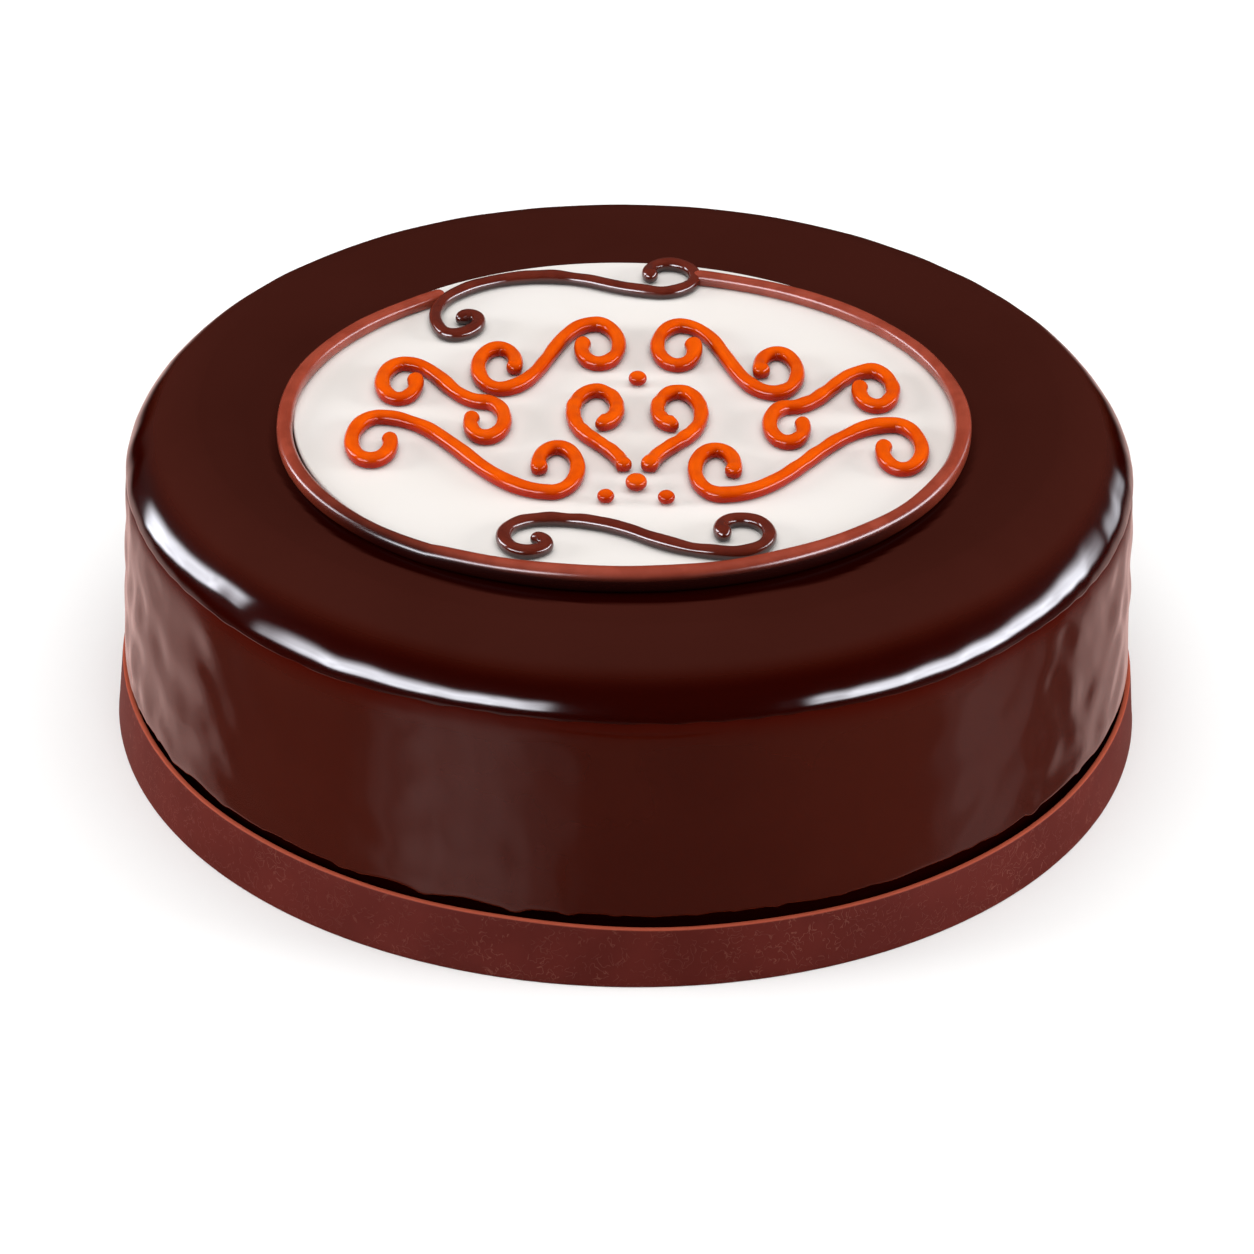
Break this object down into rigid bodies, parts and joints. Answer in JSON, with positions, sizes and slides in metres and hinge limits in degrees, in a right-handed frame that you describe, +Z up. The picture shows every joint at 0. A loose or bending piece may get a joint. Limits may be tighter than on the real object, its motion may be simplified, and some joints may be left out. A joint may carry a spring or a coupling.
{
  "type": "sachertorte cake",
  "caption": "Whole round glazed chocolate torte with a chocolate band round its foot and a white plaque on top, piped with a brown border, scrolls and orange flourishes.",
  "frame": {"origin": "middle of the cake's underside, on the surface that it stands on", "axes": "+Z up, -Y towards the front, where the plaque lies nearest the edge, +X to the right"},
  "size_m": [0.2388, 0.2388, 0.0841],
  "materials": {
    "chocolate_glaze": "glossy dark chocolate mirror glaze",
    "chocolate_band": "matt chocolate strip with fine flecks",
    "white_plaque": "smooth off-white sugar or white chocolate",
    "brown_piping": "glossy milk chocolate piping",
    "orange_piping": "glossy orange icing"
  },
  "bodies": {
    "root": {"cake_body": "chocolate_glaze", "base_band": "chocolate_band", "plaque": "white_plaque", "border_bead": "brown_piping", "top_scroll": "brown_piping", "bottom_scroll": "brown_piping", "upper_scroll_right": "orange_piping", "upper_scroll_left": "orange_piping", "upper_heart_right": "orange_piping", "upper_heart_left": "orange_piping", "lower_scroll_right": "orange_piping", "lower_scroll_left": "orange_piping", "lower_curl_right": "orange_piping", "lower_curl_left": "orange_piping", "pearl_top": "orange_piping", "pearl_foot": "orange_piping", "pearl_left": "orange_piping", "pearl_right": "orange_piping"}
  },
  "joints": []
}
